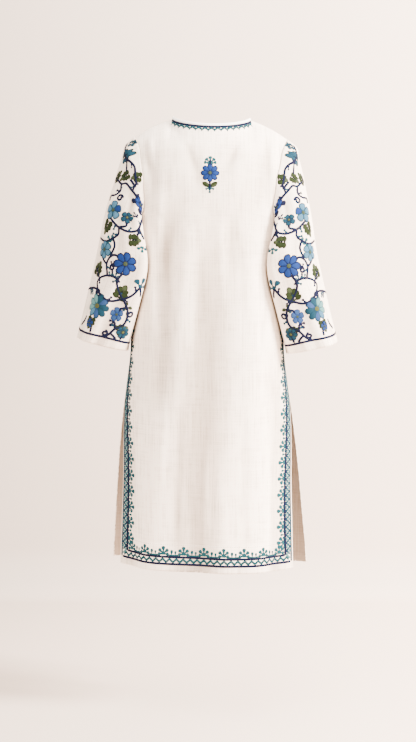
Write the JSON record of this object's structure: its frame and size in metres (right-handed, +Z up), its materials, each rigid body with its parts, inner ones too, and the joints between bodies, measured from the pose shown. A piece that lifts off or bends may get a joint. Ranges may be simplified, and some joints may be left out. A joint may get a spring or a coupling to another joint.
{
  "type": "pheran",
  "caption": "Straight knee-length pull-over tunic with wide set-in sleeves, a bound round neck and side slits, holding the hollow shape it has when worn",
  "frame": {"origin": "midway between the two high shoulder points, where the wearer's shoulders hold the garment up", "axes": "+Z up, +Y towards the wearer's back, +X towards the wearer's left; the picture is taken from +Y"},
  "size_m": [0.6237, 0.2432, 1.076],
  "materials": {
    "cloth": "matt plain weave, off-white",
    "binding": "matt plain weave, white"
  },
  "bodies": {
    "root": {"back_panel": "cloth", "front_panel": "cloth", "sleeve_left_upper": "cloth", "sleeve_left_lower": "cloth", "sleeve_right_upper": "cloth", "sleeve_right_lower": "cloth", "neck_binding": "binding"}
  },
  "joints": []
}
